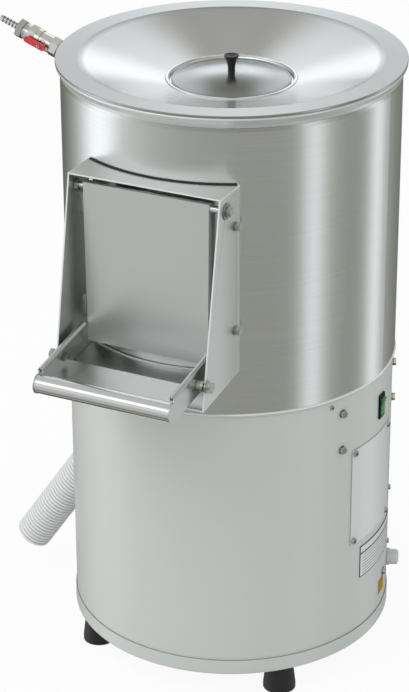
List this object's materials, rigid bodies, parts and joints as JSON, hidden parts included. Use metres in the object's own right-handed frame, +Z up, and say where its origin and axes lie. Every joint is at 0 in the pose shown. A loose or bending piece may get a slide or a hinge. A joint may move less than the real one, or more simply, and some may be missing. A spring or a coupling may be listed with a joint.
{
  "type": "electric potato peeler",
  "caption": "Floor-standing potato peeler: steel drum over a motor housing, funnel top with lid, hanging discharge door, tilting tray, water inlet valve and drain hose.",
  "frame": {"origin": "on the drum axis, at the floor that the rubber feet stand on", "axes": "+Z up along the drum axis, -Y towards the discharge chute, +X towards the switch panel; the water inlet and drain hose are on the -X side"},
  "size_m": [0.5161, 0.5394, 0.7639],
  "materials": {
    "brushed_stainless": "fine brushed stainless sheet",
    "satin_body": "satin light grey, very fine texture",
    "polished_steel": "polished stainless tube and edges",
    "zinc_hardware": "bright zinc fasteners",
    "nickel": "satin nickel plate",
    "black_rubber": "matt black",
    "black_plastic": "satin black",
    "green_rocker": "gloss green",
    "red_lever": "gloss red coating",
    "grey_plastic": "satin light grey",
    "white_hose": "satin white",
    "plate_metal": "matt, printed with blank rules",
    "amber_label": "matt film",
    "dark_iron": "grey paint over casting",
    "motor_paint": "satin paint",
    "steel_shaft": "turned",
    "cast_aluminium": "as cast",
    "grit": "coarse abrasive"
  },
  "bodies": {
    "machine": {"base_pan": "satin_body", "feet": "black_rubber", "foot_studs": "zinc_hardware", "lower_housing": "satin_body", "panel_cover": "satin_body", "cover_screws": "zinc_hardware", "switch_backplate": "brushed_stainless", "housing_bolts": "zinc_hardware", "rating_plate": "plate_metal", "blank_label": "amber_label", "cable_gland": "grey_plastic", "terminal_block": "grey_plastic", "switch_body": "black_plastic", "seam_ring": "polished_steel", "drum": "brushed_stainless", "chamber_floor": "brushed_stainless", "chamber_liner": "grit", "top_cover": "brushed_stainless", "cover_gasket": "black_rubber", "feed_collar": "polished_steel", "inlet_pipe": "polished_steel", "valve_body": "nickel", "hose_barb": "nickel", "chute_side_plates": "brushed_stainless", "chute_top_plate": "brushed_stainless", "chute_floor_plate": "brushed_stainless", "chute_bolts": "zinc_hardware", "discharge_neck": "brushed_stainless", "door_rod": "polished_steel", "door_rod_nuts": "zinc_hardware", "tray_pivots": "zinc_hardware", "drain_elbow": "grey_plastic", "drain_hose": "white_hose", "hose_clamp": "zinc_hardware", "hose_grommet": "black_rubber", "bearing_housing": "dark_iron", "drain_pipe": "brushed_stainless", "shaft_bearings": "steel_shaft", "shaft_seal": "black_rubber", "drive_belt": "black_rubber", "motor_plate": "satin_body", "motor_body": "motor_paint", "drive_fasteners": "zinc_hardware"},
    "lid": {"lid": "brushed_stainless", "lid_knob": "black_plastic"},
    "door": {"door": "brushed_stainless", "door_gasket": "black_rubber"},
    "tray": {"tray_pan": "brushed_stainless", "tray_rail": "polished_steel"},
    "disc": {"main_shaft": "steel_shaft", "abrasive_disc": "cast_aluminium", "disc_coating": "grit", "disc_cap_nut": "zinc_hardware", "driven_pulley": "cast_aluminium"},
    "rotor": {"motor_shaft": "steel_shaft", "motor_pulley": "cast_aluminium"},
    "rocker": {"rocker": "green_rocker"},
    "lever": {"valve_ball_stem": "nickel", "valve_lever": "red_lever", "lever_screw": "zinc_hardware"}
  },
  "joints": [
    {"name": "lid_lift", "type": "slide", "parent": "machine", "child": "lid", "axis": [0, 0, 1], "range_m": [0, 0.15]},
    {"name": "door_hinge", "type": "hinge", "parent": "machine", "child": "door", "pos_m": [0, -0.211, 0.659], "axis": [-1, 0, 0], "range_deg": [0, 80]},
    {"name": "tray_tilt", "type": "hinge", "parent": "machine", "child": "tray", "pos_m": [0, -0.263, 0.467], "axis": [1, 0, 0], "range_deg": [-12, 33]},
    {"name": "disc_spin", "type": "hinge", "parent": "machine", "child": "disc", "pos_m": [0, 0, 0.43], "axis": [0, 0, 1], "continuous": true},
    {"name": "motor_spin", "type": "hinge", "parent": "machine", "child": "rotor", "pos_m": [0, 0.115, 0.265], "axis": [0, 0, 1], "continuous": true},
    {"name": "switch_rock", "type": "hinge", "parent": "machine", "child": "rocker", "pos_m": [0.19291, 0.0037, 0.344], "axis": [0.0192, -0.9998, 0], "range_deg": [0, 14]},
    {"name": "valve_turn", "type": "hinge", "parent": "machine", "child": "lever", "pos_m": [-0.24839, 0, 0.73861], "axis": [0, 1, 0], "range_deg": [0, 90]}
  ],
  "couplings": [
    {"joint": "motor_spin", "follows": "disc_spin", "ratio": 3.4885}
  ]
}
